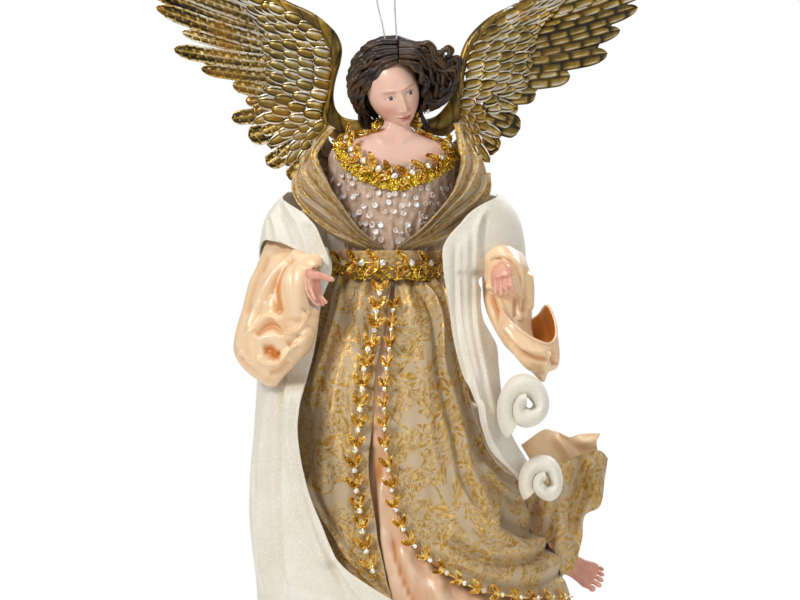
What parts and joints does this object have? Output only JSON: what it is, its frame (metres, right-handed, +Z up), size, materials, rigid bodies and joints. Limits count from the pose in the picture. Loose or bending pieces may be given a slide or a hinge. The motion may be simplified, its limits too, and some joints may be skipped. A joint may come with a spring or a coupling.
{
  "type": "hanging angel ornament",
  "caption": "Hanging angel ornament with outspread feathered wings, draped brocade and satin robe, cream stole, leaf trims and hands on bendable wrists.",
  "frame": {"origin": "top of the hanging loop, inside of the line's bend, where the hook or twig carries it", "axes": "+Z up, -Y towards the viewer, +X to the viewer's right"},
  "size_m": [0.3493, 0.1441, 0.4412],
  "materials": {
    "padding": "matte polyester stuffing in a cloth skin",
    "skin": "painted cast resin, satin sheen",
    "line": "clear nylon line",
    "hair": "painted cast resin, dark brown with golden highlights",
    "sequin": "gathered cloth sewn with cup sequins",
    "trim": "metallised gold sequin leaves with crystal stones",
    "beads": "glass seed beads, metallic yellow gold",
    "brocade": "woven damask with gold thread",
    "satin": "smooth satin, soft sheen",
    "knit": "fine knit with a metallic yarn",
    "gold": "antique gold paint on cast resin, dark in the hollows",
    "steel": "plain zinc-plated steel"
  },
  "bodies": {
    "figure": {"torso": "padding", "bust": "skin", "hanging_loop": "line", "hair": "hair", "bodice": "sequin", "neck_trim": "trim", "neck_beads": "beads", "collar_left": "brocade", "collar_right": "brocade", "belt_band": "brocade", "belt_trim": "trim", "underskirt": "satin", "overskirt_left": "brocade", "overskirt_right": "brocade", "overskirt_back": "brocade", "front_trim_left": "trim", "front_trim_right": "trim", "overskirt_tail": "brocade", "arm_left": "padding", "arm_right": "padding", "sleeve_left": "satin", "sleeve_right": "satin", "shawl_left": "knit", "shawl_right": "knit", "shawl_back": "knit", "shawl_curl_upper": "knit", "shawl_curl_lower": "knit", "leg_left": "padding", "foot_left": "skin", "leg_right": "padding", "foot_right": "skin", "wing_left": "gold", "wing_right": "gold", "wing_bracket": "steel", "wing_screw_upper_left": "steel", "wing_screw_upper_right": "steel", "wing_screw_lower_left": "steel", "wing_screw_lower_right": "steel"},
    "left_hand": {"hand_left": "skin"},
    "right_hand": {"hand_right": "skin"}
  },
  "joints": [
    {"name": "wrist_left", "type": "hinge", "parent": "figure", "child": "left_hand", "pos_m": [-0.043, -0.045, -0.184], "axis": [-0.53, -0.795, 0.295], "range_deg": [-20, 20]},
    {"name": "wrist_right", "type": "hinge", "parent": "figure", "child": "right_hand", "pos_m": [0.069, -0.041, -0.181], "axis": [0.9793, -0.11, 0.17], "range_deg": [-20, 20]}
  ]
}
